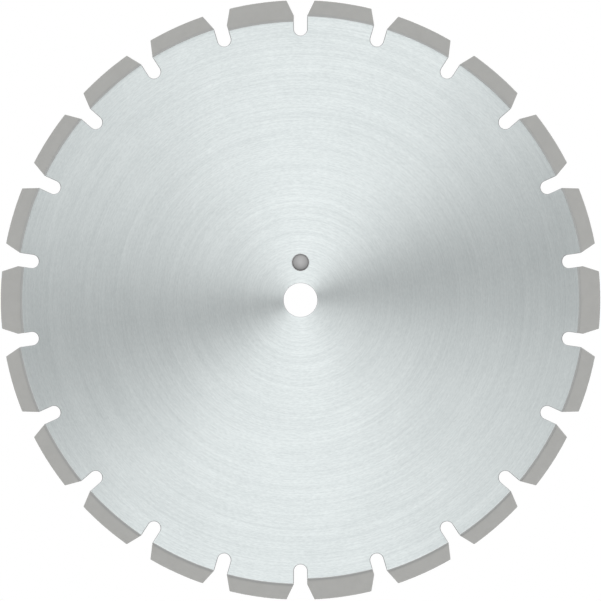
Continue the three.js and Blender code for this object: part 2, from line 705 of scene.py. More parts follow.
@dataclass(frozen=True)
class MouldedPlug:
    """Grey moulded plastic with a fine spark-eroded skin, with painted shade towards its rim and its
    bottom.

    Attributes:
        colour: The clean plastic.
        shade_and_smear_colour: The dark colour of the painted shade and of the smears.
        smeared: The plastic where it is smeared.
        roughness: The roughness in the middle of its range.
        painted_dome_shade: How much painted shade darkens it outside the middle.
        painted_lower_shade: How much more painted shade darkens it at the bottom.
        painted_rim_shade: How much more painted shade darkens it close to the rim.
        smear_dirt: How much the smears add.
        skin_to_metre: How many pits its skin has to a metre.
        skin_depth: How deep they are.
        smears_to_metre: How many smears there are to a metre.
    """

    colour: tuple[float, float, float] = (0.485, 0.485, 0.485)
    shade_and_smear_colour: tuple[float, float, float] = (0.05, 0.05, 0.05)
    smeared: tuple[float, float, float] = (0.43, 0.43, 0.43)
    roughness: float = 0.5
    painted_dome_shade: float = 0.22
    painted_lower_shade: float = 0.6
    painted_rim_shade: float = 0.45
    smear_dirt: float = 0.06
    skin_to_metre: float = 3500.0
    skin_depth: float = 0.02 * MM
    smears_to_metre: float = 300.0

    def make(self, radius: float, height: float) -> bpy.types.Material:
        """Builds the material.

        With the distance from the plug's middle as a share of its radius, painted shade grows evenly to
        three quarters of the way and again close to the rim. More shade is painted at the bottom:
        the share squared, times the square of how far the share exceeds the height above the
        middle, halved.

        Args:
            radius: The plug's radius.
            height: The plug's middle above the spin axis.

        Returns:
            The material.
        """
        material, graph, place = new_material("moulded_plug")
        skin = graph.noise(place.point, self.skin_to_metre)
        smears = graph.noise(place.point, self.smears_to_metre, detail=3.0)
        up = (place.z - height) * (1.0 / radius)
        across = place.x * (1.0 / radius)
        share = (up * up + across * across).math("SQRT")
        low = (share - up) * 0.5
        # Painted shade of a domed plug lit from above: darker outwards, most at the bottom and at the
        # rim. The smears add real tone.
        shade_and_smears = share.between(0.15, 0.75) * self.painted_dome_shade
        shade_and_smears = shade_and_smears + (low * share).math("POWER", 2.0) * self.painted_lower_shade
        shade_and_smears = shade_and_smears + share.between(0.86, 1.0) * self.painted_rim_shade + smears * self.smear_dirt
        clean = graph.blend((smears * 0.8 + 0.5).clamped(), self.colour, self.smeared)
        dressing = {
            "Base Color": graph.blend(shade_and_smears.clamped(), clean, self.shade_and_smear_colour),
            "Roughness": (skin * 0.2 + self.roughness).clamped(),
            "Normal": graph.bump(skin, self.skin_depth),
        }
        finish_surface(graph, graph.principled(dressing))
        return material


# ---------------------------------------------------------------------------- shapes


def on_ring(radius: Array | float, angle: Array | float) -> Array:
    """Places points by radius and angle from the top: x = r sin a, z = r cos a.

    Args:
        radius: The distances from the spin axis.
        angle: The angles, clockwise from the top.

    Returns:
        The points' x and z, in a last axis of two.
    """
    radius, angle = np.broadcast_arrays(radius, angle)
    return np.stack((radius * np.sin(angle), radius * np.cos(angle)), axis=-1)


def lifted(flat: Array, depth: Array) -> Array:
    """Joins points' x and z with their places along Y, into a last axis of three."""
    return np.stack((flat[..., 0], depth, flat[..., 1]), axis=-1)


def mitres(path: Array) -> Array:
    """Works out how far to step out of a closed path at each point for an even offset.

    Each side's outward normal is its direction turned a quarter turn to the left. At a point
    the two sides' normals are added and divided by one plus their dot product, which lengthens
    the step at a corner just enough to keep the offset's sides parallel.

    Args:
        path: The points' x and z, clockwise round material and anticlockwise round a hole.

    Returns:
        One step for each point, for an offset of one.
    """
    side = np.roll(path, -1, axis=0) - path
    side /= np.linalg.norm(side, axis=1, keepdims=True)
    after = np.stack((-side[:, 1], side[:, 0]), axis=1)
    before = np.roll(after, 1, axis=0)
    return (before + after) / (1.0 + np.sum(before * after, axis=1, keepdims=True))


def eased(stretches: Sequence[Array], ease: float, steps: int = 3) -> Array:
    """Joins open stretches into a closed path, with a small curve in place of each corner.

    Both stretches are cut short by the ease, or by two fifths of a short chord. Between their
    new ends A and C, with the old corner P, the curve is (1-s) squared times A, plus 2s(1-s)
    times P, plus s squared times C.

    Args:
        stretches: Rows of x and z, each beginning where the one before it ends.
        ease: How far from a corner its curve begins.
        steps: How many chords the curve has.

    Returns:
        The closed path.
    """
    s = np.linspace(0.0, 1.0, steps + 1)[:, None]
    most = 0.4
    cut = []
    for stretch in stretches:
        lead, tail = stretch[1] - stretch[0], stretch[-2] - stretch[-1]
        start = stretch[0] + lead * min(ease / np.linalg.norm(lead), most)
        end = stretch[-1] + tail * min(ease / np.linalg.norm(tail), most)
        cut.append((start, stretch[1:-1], end, stretch[-1]))
    parts = []
    for this, following in zip(cut, cut[1:] + cut[:1]):
        curve = (1 - s) ** 2 * this[2] + 2 * s * (1 - s) * this[3] + s**2 * following[0]
        parts += [this[1], curve]
    return np.concatenate(parts)


@dataclass
class Mesh:
    """Vertices and faces that grow patch by patch into one mesh.

    Attributes:
        points: Blocks of vertices.
        faces: Each face's vertex numbers.
        finishes: The number of each face's material.
        smooth: Whether each face is shaded smooth.
        crease: The angle between smooth faces from which their edge stays sharp.
    """

    points: list[Array] = field(default_factory=list)
    faces: list[Sequence[int]] = field(default_factory=list)
    finishes: list[int] = field(default_factory=list)
    smooth: list[bool] = field(default_factory=list)
    crease: float = math.radians(35.0)

    def add_points(self, points: Array) -> NDArray[np.int64]:
        """Adds vertices.

        Args:
            points: The vertices, in a last axis of three.

        Returns:
            Their numbers, in the shape that the vertices came in.
        """
        start = sum(len(block) for block in self.points)
        self.points.append(points.reshape(-1, 3))
        return start + np.arange(points[..., 0].size).reshape(points.shape[:-1])

    def add_faces(self, faces: Sequence[Sequence[int]], finish: int, smooth: bool) -> None:
        """Adds faces of one finish.

        Args:
            faces: Each face's vertex numbers.
            finish: The number of their material.
            smooth: Whether they are shaded smooth.
        """
        self.faces.extend(faces)
        self.finishes.extend([finish] * len(faces))
        self.smooth.extend([smooth] * len(faces))

    def add_grid(
        self,
        points: Array,
        finish: int = FinishNumber.MAIN,
        wrap_rows: bool = False,
        wrap_columns: bool = False,
    ) -> NDArray[np.int64]:
        """Adds a grid of vertices with a smooth quad in each cell.

        A quad goes round from a point to the next column, so its face points along column
        direction cross row direction.

        Args:
            points: The vertices, as rows by columns by three.
            finish: The number of its material.
            wrap_rows: Whether the last row joins the first.
            wrap_columns: Whether the last column joins the first.

        Returns:
            The vertices' numbers, as rows by columns.
        """
        number = self.add_points(points)
        ring = np.concatenate((number, number[:, :1]), axis=1) if wrap_columns else number
        ring = np.concatenate((ring, ring[:1]), axis=0) if wrap_rows else ring
        corners = (ring[:-1, :-1], ring[:-1, 1:], ring[1:, 1:], ring[1:, :-1])
        quads = np.stack([corner.ravel() for corner in corners], axis=1)
        self.add_faces(quads.tolist(), finish, smooth=True)
        return number

    def build(self, name: str, finishes: Sequence[bpy.types.Material]) -> bpy.types.Object:
        """Makes the Blender object, at the origin.

        Args:
            name: The object's name.
            finishes: Its materials, in the order of their numbers.

        Returns:
            The object.
        """
        mesh = bpy.data.meshes.new(name)
        mesh.from_pydata(np.concatenate(self.points).tolist(), [], self.faces)
        for finish in finishes:
            mesh.materials.append(finish)
        mesh.polygons.foreach_set("material_index", self.finishes)
        mesh.set_sharp_from_angle(angle=self.crease)
        mesh.polygons.foreach_set("use_smooth", self.smooth)
        mesh.update()
        made = bpy.data.objects.new(name, mesh)
        bpy.context.scene.collection.objects.link(made)
        return made


@dataclass(frozen=True)
class Rounding:
    """How the edges of a plate's faces are rounded.

    Attributes:
        radius: The rounding's radius.
        steps: How many chords its quarter circle has.
    """

    radius: float
    steps: int = 3

    def profile(self, half: float, share: Array) -> tuple[Array, Array]:
        """Runs from the front face's border over the edge and the wall to the back face's.

        Each edge is a quarter circle: at an angle a, the inset is the radius times one minus
        sin a, and the height in from the face is the radius times one minus cos a.

        Args:
            half: Half the plate's thickness.
            share: How much of the radius each point of the path gets.

        Returns:
            The insets and the heights along Y, as profile steps by points.
        """
        turn = np.linspace(0.0, math.pi / 2, self.steps + 1)[:, None]
        inset = self.radius * share * (1.0 - np.sin(turn))
        height = self.radius * share * (1.0 - np.cos(turn)) - half
        return np.concatenate((inset, inset[::-1])), np.concatenate((height, -height[::-1]))


def add_wall(
    mesh: Mesh,
    path: Array,
    half: float,
    rounding: Rounding,
    finish: int,
    share: Array | None = None,
) -> NDArray[np.int64]:
    """Carries a plate's edge profile along a closed path.

    Each point of the path is stepped in along its mitre by the profile's inset, and takes the
    profile's height as its Y.

    Args:
        mesh: What it is added to.
        path: The points' x and z, clockwise round material and anticlockwise round a hole.
        half: Half the plate's thickness.
        rounding: The edges' rounding.
        finish: The number of its material.
        share: How much of the rounding each point gets, if not all of it.

    Returns:
        The vertices' numbers, from the front face's border to the back face's.
    """
    inset, depth = rounding.profile(half, np.ones(len(path)) if share is None else share)
    flat = path[None, :, :] - inset[:, :, None] * mitres(path)[None, :, :]
    return mesh.add_grid(lifted(flat, depth), finish, wrap_columns=True)


def add_plate(mesh: Mesh, path: Array, half: float, rounding: Rounding) -> None:
    """Adds a plate of one outline: a rounded wall and a face on each side.

    Args:
        mesh: What it is added to.
        path: The outline's x and z, clockwise.
        half: Half the plate's thickness.
        rounding: The edges' rounding.
    """
    wall = add_wall(mesh, path, half, rounding, FinishNumber.MAIN)
    mesh.add_faces([wall[0, ::-1].tolist(), wall[-1].tolist()], FinishNumber.MAIN, smooth=False)


# ---------------------------------------------------------------------------- sizes


def reach(node: str) -> tuple[float, float]:
    """Measures how far a node's corners are from the spin axis.

    Args:
        node: The node's name.

    Returns:
        The least and the greatest distance.
    """
    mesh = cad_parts[node].data
    points = np.empty(len(mesh.vertices) * 3, np.float32)
    mesh.vertices.foreach_get("co", points)
    radii = np.hypot(points[0::3], points[2::3])
    return float(radii.min()), float(radii.max())


def half_thickness(node: str) -> float:
    """Measures half a node's size along the spin axis."""
    low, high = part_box(node)
    return (high.y - low.y) / 2


@dataclass(frozen=True)
class Layout:
    """How the rim is divided, and the outline of a gullet's sides.

    Attributes:
        count: How many segments there are.
        gullet_width: Between a gullet's parallel sides.
        gullet_depth: From the deep segments' base to a gullet's bottom.
        flank_angle: How far a segment's end leans away from the gullet's centre line.
        flank_start: How far above the standard segments' base the lean begins.
        standard_base: The radius of the standard segments' base.
        deep_base: The radius of the deep segments' base.
        tip: The radius of the segments' tips.
    """

    count: int
    standard_base: float
    deep_base: float
    tip: float
    gullet_width: float = 10.0 * MM
    gullet_depth: float = 10.5 * MM
    flank_angle: float = math.radians(26.0)
    flank_start: float = 0.4 * MM

    @classmethod
    def from_frame(cls) -> "Layout":
        """Measures the layout on the frame's feet and segments.

        Returns:
            The layout.
        """
        feet = sorted(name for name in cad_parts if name.startswith("segment_foot"))
        bases = [reach(name)[0] for name in feet]
        tip = reach(numbered("cutting_segment", 0))[1]
        return cls(len(feet), max(bases), min(bases), tip)

    @property
    def pitch(self) -> float:
        """The angle from one gullet to the next."""
        return 2.0 * math.pi / self.count

    @property
    def corner(self) -> tuple[float, float]:
        """Where the flank begins: across and along the gullet's centre line."""
        return self.gullet_width / 2, self.standard_base + self.flank_start

    @property
    def corner_radius(self) -> float:
        """The flank corner's distance from the spin axis."""
        return math.hypot(*self.corner)

    def middle(self, index: int) -> float:
        """The angle of a segment's middle."""
        return (index + 0.5) * self.pitch

    def side_angle(self, radius: Array | float) -> Array:
        """The angle from a gullet's centre line to its side at a radius.

        Below the flank corner the side is parallel to the centre line. Above it, the side is
        a straight line from the corner, and the point at the radius solves a square equation.

        Args:
            radius: The distances from the spin axis.

        Returns:
            The angles.
        """
        across, along = self.corner
        lean, rise = math.sin(self.flank_angle), math.cos(self.flank_angle)
        half = across * lean + along * rise
        beyond = np.maximum(np.square(radius) - self.corner_radius**2, 0.0)
        step = np.sqrt(half**2 + beyond) - half
        flank = np.arctan2(across + step * lean, along + step * rise)
        return np.where(beyond > 0.0, flank, np.arcsin(across / radius))

    def half_angle(self, radius: Array | float) -> Array:
        """The angle from a segment's middle to its side at a radius."""
        return self.pitch / 2 - self.side_angle(radius)

    def block(self, index: int, inner: float, outer: float, ease: float, steps: int = 24) -> Array:
        """Outlines the block between two gullets and two radii, clockwise, with eased corners.

        Args:
            index: Which block, counted clockwise from the top.
            inner: The inner radius.
            outer: The outer radius.
            ease: How far from a corner its easing begins.
            steps: How many chords an arc has.

        Returns:
            The outline's x and z.
        """
        middle = self.middle(index)
        share = np.linspace(-1.0, 1.0, steps + 1)
        bends = [self.corner_radius] if inner < self.corner_radius < outer else []
        radii = np.array([outer, *bends, inner])
        reaches = self.half_angle(radii)
        falling = on_ring(radii, middle + reaches)
        rising = on_ring(radii, middle - reaches)[::-1]
        top = on_ring(outer, middle + share * reaches[0])
        bottom = on_ring(inner, middle - share * reaches[-1])
        sides = [np.stack(pair) for pair in zip(falling[:-1], falling[1:])]
        returns = [np.stack(pair) for pair in zip(rising[:-1], rising[1:])]
        return eased([top, *sides, bottom, *returns], ease)


# ---------------------------------------------------------------------------- sub-assemblies


@dataclass(frozen=True)
class SteelCore:
    """The disc that carries the segments.

    Attributes:
        layout: How the rim is divided.
        half: Half its thickness.
        bore_radius: The arbor bore's radius.
        pin_radius: The drive pin hole's radius.
        pin_offset: The drive pin hole's centre above the spin axis.
        weld_gap: How far below a segment's base its seat lies.
        gullet_edge: The rim's rounding.
        hole_edge: The holes' rounding.
        seat_share: How much of the rim's rounding a seat has.
        seat_margin: How far below a seat a gullet's straight side ends.
        seat_steps: How many chords a seat has.
        gullet_steps: How many chords a gullet's bottom has.
        hole_steps: How many chords a hole has.
    """

    layout: Layout
    half: float
    bore_radius: float
    pin_radius: float
    pin_offset: float
    weld_gap: float = 0.08 * MM
    gullet_edge: Rounding = Rounding(0.4 * MM)
    hole_edge: Rounding = Rounding(0.22 * MM)
    seat_share: float = 0.1
    seat_margin: float = 0.45 * MM
    seat_steps: int = 24
    gullet_steps: int = 24
    hole_steps: int = 96

    @classmethod
    def from_frame(cls, layout: Layout) -> "SteelCore":
        """Takes the core's sizes from the frame.

        Args:
            layout: How the rim is divided.

        Returns:
            The core.
        """
        low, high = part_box("pin_hole_plug")
        return cls(
            layout=layout,
            half=half_thickness("steel_core"),
            bore_radius=reach("steel_core")[0],
            pin_radius=(high.z - low.z) / 2 + PLUG_CLEARANCE,
            pin_offset=(high.z + low.z) / 2,
        )

    def outline(self, bases: Sequence[float]) -> Array:
        """Goes round the rim clockwise from the bottom of the top gullet.

        A gullet's bottom is a half circle: at an angle a, a point lies the half width times
        cos a across the gullet and the half width times sin a below the round's centre. Its
        sides run on straight to a margin below the seats next to it. Each gullet is followed
        by the seat after it, an arc about the spin axis, whose edges are hardly rounded.

        Args:
            bases: Each segment's base radius.

        Returns:
            The outline's x and z, and the share of the edge's rounding.
        """
        layout = self.layout
        half_width = layout.gullet_width / 2
        centre = layout.deep_base - layout.gullet_depth + half_width
        turn = np.linspace(math.pi, 0.0, self.gullet_steps + 1)
        across = half_width * np.concatenate(([-1.0], np.cos(turn), [1.0]))
        ends = [math.sqrt(base**2 - half_width**2) - self.seat_margin for base in bases]
        parts = []
        shares = []
        for index, base in enumerate(bases):
            start = index * layout.pitch
            round_end = centre - half_width * np.sin(turn)
            along = np.concatenate(([ends[index - 1]], round_end, [ends[index]]))
            gullet = on_ring(np.hypot(across, along), start + np.arctan2(across, along))
            seat = base - self.weld_gap
            side = layout.side_angle(seat)
            angles = np.linspace(start + side, start + layout.pitch - side, self.seat_steps + 1)
            parts += [gullet, on_ring(seat, angles)]
            shares += [np.ones(len(gullet)), np.full(len(angles), self.seat_share)]
        outline = np.column_stack((np.concatenate(parts), np.concatenate(shares)))
        return np.roll(outline, -(self.gullet_steps // 2) - 1, axis=0)

    def hole(self, radius: float, height: float) -> Array:
        """Goes round a hole anticlockwise from its top.

        Args:
            radius: The hole's radius.
            height: The hole's centre above the spin axis.

        Returns:
            The hole's x and z.
        """
        angles = np.linspace(0.0, -2.0 * math.pi, self.hole_steps, endpoint=False)
        return on_ring(radius, angles) + np.array([0.0, height])

    def build(self, bases: Sequence[float], finishes: Sequence[bpy.types.Material]) -> bpy.types.Object:
        """Builds the core from three walls and two faces.

        Each face is two halves that meet on the upright through both holes, so that neither
        half has a hole in it.

        Args:
            bases: Each segment's base radius.
            finishes: The materials of the faces and of the walls.

        Returns:
            The core.
        """
        mesh = Mesh()
        outline = self.outline(bases)
        path, share = outline[:, :2], outline[:, 2]
        rim = add_wall(mesh, path, self.half, self.gullet_edge, FinishNumber.SECOND, share)
        bore_path = self.hole(self.bore_radius, 0.0)
        bore = add_wall(mesh, bore_path, self.half, self.hole_edge, FinishNumber.SECOND)
        pin_path = self.hole(self.pin_radius, self.pin_offset)
        pin = add_wall(mesh, pin_path, self.half, self.hole_edge, FinishNumber.SECOND)
        for row in (0, -1):
            borders = (np.append(wall[row], wall[row, 0]) for wall in (rim, bore, pin))
            outer, low_hole, high_hole = borders
            middle, turn = len(outer) // 2, self.hole_steps // 2
            right = [outer[: middle + 1], low_hole[turn:], high_hole[turn:]]
            left = [outer[middle:], high_hole[: turn + 1], low_hole[: turn + 1]]
            faces = [np.concatenate(parts).tolist() for parts in (right, left)]
            faces = [face[::-1] if row == 0 else face for face in faces]
            mesh.add_faces(faces, FinishNumber.MAIN, smooth=False)
        return mesh.build("ground_core", finishes)


@dataclass(frozen=True)
class GritScatter:
    """Diamond crystals that stand a little out of a cutting segment's skin.

    Attributes:
        smallest: The smallest crystal's radius.
        largest: The largest crystal's radius.
        showing: How much of a crystal's height stands out.
        side_count: How many there are on each side.
        tip_count: How many there are on the tip.
        margin: How far they stay from the segment's edges.
        seed: The first segment's seed.
    """

    smallest: float = 0.15 * MM
    largest: float = 0.26 * MM
    showing: float = 0.3
    side_count: int = 70
    tip_count: int = 60
    margin: float = 0.5 * MM
    seed: int = 1

    def crystals(self, centres: Array, sizes: Array, random: np.random.Generator) -> Array:
        """Places a cuboctahedron at each centre, turned at random.

        Its corners are all the ways to put one 0 and two ones of either sign on three axes.
        The turn is a random quaternion made into a matrix by the usual products.

        Args:
            centres: The crystals' centres.
            sizes: Their radii.
            random: The source of the turns.

        Returns:
            The corners, as crystals by twelve by three.
        """
        one = math.sqrt(0.5)
        signs = np.array([(1, 1), (1, -1), (-1, -1), (-1, 1)]) * one
        blank = np.zeros(4)
        corners = np.concatenate((
            np.stack((signs[:, 0], signs[:, 1], blank), axis=1),
            np.stack((blank, signs[:, 0], signs[:, 1]), axis=1),
            np.stack((signs[:, 1], blank, signs[:, 0]), axis=1),
        ))
        turn = random.normal(size=(len(centres), 4))
        w, x, y, z = (turn / np.linalg.norm(turn, axis=1, keepdims=True)).T
        matrix = np.stack((
            1 - 2 * (y * y + z * z), 2 * (x * y - z * w), 2 * (x * z + y * w),
            2 * (x * y + z * w), 1 - 2 * (x * x + z * z), 2 * (y * z - x * w),
            2 * (x * z - y * w), 2 * (y * z + x * w), 1 - 2 * (x * x + y * y),
        ), axis=1).reshape(-1, 3, 3)
        turned = np.einsum("nij,kj->nki", matrix, corners)
        return centres[:, None, :] + turned * sizes[:, None, None]

    def faces(self) -> list[tuple[int, ...]]:
        """Lists a cuboctahedron's six squares and eight triangles, seen from outside.

        Returns:
            Each face's corner numbers.
        """
        squares = [(0, 8, 1, 11), (3, 10, 2, 9), (4, 0, 5, 3)]
        squares += [(7, 2, 6, 1), (8, 4, 9, 7), (11, 6, 10, 5)]
        upper = [(0, 4, 8), (0, 11, 5), (1, 8, 7), (3, 9, 4)]
        lower = [(1, 6, 11), (3, 5, 10), (2, 7, 9), (2, 10, 6)]
        return squares + upper + lower

    def add(self, mesh: Mesh, layout: Layout, index: int, base: float, half: float) -> None:
        """Scatters crystals over a segment's two sides and its tip.

        Args:
            mesh: The segment's mesh.
            layout: How the rim is divided.
            index: Which segment.
            base: The radius where the cutting layer begins.
            half: Half the segment's thickness.
        """
        random = np.random.default_rng(self.seed + index)
        total = 2 * self.side_count + self.tip_count
        sizes = random.uniform(self.smallest, self.largest, total)
        sunk = sizes * (1.0 - 2.0 * self.showing)
        side = np.repeat([-1.0, 1.0, 0.0], [self.side_count, self.side_count, self.tip_count])
        on_tip = side == 0.0
        inner, outer = base + self.margin, layout.tip - self.margin
        radius = np.sqrt(random.uniform(inner**2, outer**2, total))
        radius = np.where(on_tip, layout.tip - sunk, radius)
        spread = layout.half_angle(radius) - self.margin / radius
        angle = layout.middle(index) + random.uniform(-1.0, 1.0, total) * spread
        depth = random.uniform(-1.0, 1.0, total) * (half - self.margin)
        depth = np.where(on_tip, depth, side * (half - sunk))
        centres = lifted(on_ring(radius, angle), depth)
        number = mesh.add_points(self.crystals(centres, sizes, random))
        for face in self.faces():
            mesh.add_faces(number[:, list(face)].tolist(), FinishNumber.SECOND, smooth=False)


@dataclass(frozen=True)
class Segment:
    """One seat's sintered block: a cutting layer with grit on a foot without any.

    Attributes:
        layout: How the rim is divided.
        index: Which segment, counted clockwise from the top.
        base: The radius where its foot begins.
        join: The radius where its cutting layer begins.
        half: Half its thickness.
        name: The cutting layer's node.
        edge: Its edges' rounding.
        ease: How far from an outline's corner its curve begins.
        grit: Its crystals.
    """

    layout: Layout
    index: int
    base: float
    join: float
    half: float
    name: str
    edge: Rounding = Rounding(0.14 * MM)
    ease: float = 0.35 * MM
    grit: GritScatter = GritScatter()

    @classmethod
    def from_frame(cls, layout: Layout, index: int) -> "Segment":
        """Takes a segment's sizes from its two nodes in the frame.

        Args:
            layout: How the rim is divided.
            index: Which segment, counted clockwise from the top.

        Returns:
            The segment.
        """
        names = (numbered("cutting_segment", index), numbered("deep_segment", index))
        name = next(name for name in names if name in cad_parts)
        low, foot_top = reach(numbered("segment_foot", index))
        base = min((layout.standard_base, layout.deep_base), key=lambda kind: abs(kind - low))
        join = (foot_top + reach(name)[0]) / 2
        return cls(layout, index, base, join, half_thickness(name), name)

    def build_cutting_layer(self, finishes: Sequence[bpy.types.Material]) -> bpy.types.Object:
        """Builds the layer that cuts, with its grit.

        Args:
            finishes: The materials of the layer and of the grit.

        Returns:
            The layer.
        """
        mesh = Mesh()
        outline = self.layout.block(self.index, self.join, self.layout.tip, self.ease)
        add_plate(mesh, outline, self.half, self.edge)
        self.grit.add(mesh, self.layout, self.index, self.join, self.half)
        return mesh.build(numbered("sintered_layer", self.index), finishes)

    def build_foot(self, finish: bpy.types.Material) -> bpy.types.Object:
        """Builds the foot, which is welded to the core.

        Args:
            finish: The foot's material.

        Returns:
            The foot.
        """
        mesh = Mesh()
        outline = self.layout.block(self.index, self.base, self.join, self.ease)
        add_plate(mesh, outline, self.half, self.edge)
        return mesh.build(numbered("welded_foot", self.index), [finish])


@dataclass(frozen=True)
class WeldSeam:
    """The laser weld along a seat: a fillet on each face and the metal between.

    Attributes:
        segment: The segment that it holds.
        core_half: Half the core's thickness.
        onto_core: How far it reaches onto the core.
        onto_foot: How far it reaches onto the foot.
        sink: How far its toe lies below the core's face.
        rise_power: The power of the rise from core to foot.
        ripple_pitch: The length of a ripple.
        ripple_height: A ripple's height.
        ripple_lean: How far a ripple's middle lags, as a share of the pitch.
        wander: How far the inner toe wanders.
        waves: The two wanderings' angles over half the seam.
        second_wave: The second wandering's size beside the first.
        end_inset: How far short of the seat's ends it stops.
        profile_steps: How many chords a fillet's profile has.
        ripple_steps: How many chords a ripple has.
        seed: The first seam's seed.
    """

    segment: Segment
    core_half: float
    onto_core: float = 0.18 * MM
    onto_foot: float = 0.1 * MM
    sink: float = 0.01 * MM
    rise_power: float = 1.6
    ripple_pitch: float = 0.55 * MM
    ripple_height: float = 0.018 * MM
    ripple_lean: float = 0.35
    wander: float = 0.02 * MM
    waves: tuple[float, float] = (5.3, 17.0)
    second_wave: float = 0.7
    end_inset: float = 0.05 * MM
    profile_steps: int = 7
    ripple_steps: int = 4
    seed: int = 100

    def build(self, finish: bpy.types.Material) -> bpy.types.Object:
        """Builds the seam as a closed profile carried along the seat.

        Across the front fillet, a share u runs from 0 on the core to 1 on the foot. The radius
        goes evenly from the toe on the core to the toe on the foot, and the height above the
        core rises by a power of u to the foot's face. Along the seat the inner toe wanders by
        two sine waves, and the height ripples by a cosine of the length, which lags towards
        the bead's middle, as frozen weld metal does. The back fillet is made the same way.

        Args:
            finish: The weld metal.

        Returns:
            The seam.
        """
        segment, layout = self.segment, self.segment.layout
        random = np.random.default_rng(self.seed + segment.index)
        half_angle = float(layout.half_angle(segment.base)) - self.end_inset / segment.base
        length = 2.0 * half_angle * segment.base
        steps = int(round(length / self.ripple_pitch)) * self.ripple_steps
        along = np.linspace(-1.0, 1.0, steps + 1)[None, :]
        u = np.linspace(0.0, 1.0, self.profile_steps + 1)[:, None]
        faces = []
        for side in (Side.FRONT, Side.BACK):
            phases = random.uniform(0.0, 2.0 * math.pi, 4)[:2]
            slow, quick = (np.sin(along * wave + phase) for wave, phase in zip(self.waves, phases))
            toe = self.onto_core + self.wander * (slow + self.second_wave * quick)
            radius = segment.base - toe + u * (toe + self.onto_foot)
            run = (along + 1.0) * 0.5 * length / self.ripple_pitch
            bulge = np.sin(math.pi * u)
            swing = np.cos(2.0 * math.pi * (run - self.ripple_lean * bulge))
            rise = (segment.half - self.core_half) * u**self.rise_power
            height = self.core_half - self.sink + rise + self.ripple_height * bulge * swing
            angle = layout.middle(segment.index) + along * half_angle
            points = lifted(on_ring(radius, angle), side.value * height)
            faces.append(points if side is Side.FRONT else points[::-1])
        mesh = Mesh()
        number = mesh.add_grid(np.concatenate(faces), wrap_rows=True)
        ends = [number[:, 0].tolist(), number[::-1, -1].tolist()]
        mesh.add_faces(ends, FinishNumber.MAIN, smooth=False)
        return mesh.build(numbered("weld_seam", segment.index), [finish])


@dataclass(frozen=True)
class PinHolePlug:
    """The push-in plug of the drive pin's hole, domed on both faces.

    Attributes:
        radius: Its radius.
        half: Half its thickness.
        height: Its middle above the spin axis.
        land: Half the height of its straight wall.
        lip: The width of the rounding round a dome.
        dimple_radius: The gate dimple's radius.
        dimple_depth: The gate dimple's depth.
        middle_share: The radius of a dome's closing face, as a share of the dome's.
        dome_steps: How many chords a dome's profile has.
        lip_steps: How many chords a lip's profile has.
        turns: How many steps there are round it.
    """

    radius: float
    half: float
    height: float
    land: float = 0.4 * MM
    lip: float = 0.35 * MM
    dimple_radius: float = 0.7 * MM
    dimple_depth: float = 0.06 * MM
    middle_share: float = 0.01
    dome_steps: int = 28
    lip_steps: int = 4
    turns: int = 96

    @classmethod
    def from_frame(cls) -> "PinHolePlug":
        """Takes the plug's sizes from the frame."""
        low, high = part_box("pin_hole_plug")
        return cls((high.z - low.z) / 2, half_thickness("pin_hole_plug"), (high.z + low.z) / 2)

    def build(self, finish: bpy.types.Material) -> bpy.types.Object:
        """Builds the plug by turning a profile about the spin direction.

        A dome is a cap of a sphere: at a radius r its height is the crown's less the sphere's
        radius plus the root of the sphere's radius squared less r squared. Round its centre the
        moulding gate leaves a shallow dimple, whose depth falls off as e to minus the fourth
        power of the radius over the dimple's.

        Args:
            finish: The moulding.

        Returns:
            The plug.
        """
        rise = self.half - self.land
        sphere = (self.radius**2 + rise**2) / (2.0 * rise)
        share = np.linspace(self.middle_share, 1.0, self.dome_steps + 1)
        reach_out = share * (self.radius - self.lip)
        crown = self.half - sphere + np.sqrt(sphere**2 - reach_out**2)
        crown = crown - self.dimple_depth * np.exp(-((reach_out / self.dimple_radius) ** 4))
        turn = np.linspace(0.0, math.pi / 2, self.lip_steps + 1)[1:]
        lip_radius = self.radius - self.lip * (1.0 - np.sin(turn))
        lip_height = crown[-1] - (crown[-1] - self.land) * (1.0 - np.cos(turn))
        radius = np.concatenate((reach_out, lip_radius))
        height = np.concatenate((crown, lip_height))
        radius = np.concatenate((radius, radius[::-1]))
        height = np.concatenate((-height, height[::-1]))
        around = np.linspace(0.0, 2.0 * math.pi, self.turns, endpoint=False)
        flat = on_ring(radius[:, None], around[None, :]) + np.array([0.0, self.height])
        depth = np.broadcast_to(height[:, None], flat.shape[:2])
        mesh = Mesh()
        number = mesh.add_grid(lifted(flat, depth), wrap_columns=True)
        ends = [number[0, ::-1].tolist(), number[-1].tolist()]
        mesh.add_faces(ends, FinishNumber.MAIN, smooth=True)
        return mesh.build("moulded_plug", [finish])


# ---------------------------------------------------------------------------- studio


@dataclass(frozen=True)
class Flag:
    """A soft dark flag on both sides of the blade, which dims the dome round one direction.

    Attributes:
        angle: Its direction round the spin axis, in degrees clockwise from the top.
        spread: Over how many degrees its dimming falls to about a third.
        depth: How much brightness it takes, or gives if it is negative, as a bounce card does.
    """

    angle: float
    spread: float
    depth: float

    def dimming(self, half_turns: Value) -> Value:
        """Gives a bell curve about the flag: e to minus the square of distance over spread.

        Args:
            half_turns: The direction round the spin axis, in half turns.

        Returns:
            The brightness that it takes.
        """
        away = (half_turns + (0.5 - self.angle / 180.0)).math("FRACT") - 0.5
        squared = (away * (180.0 / self.spread)).math("POWER", 2.0)
        return (squared * -1.0).math("EXPONENT") * self.depth


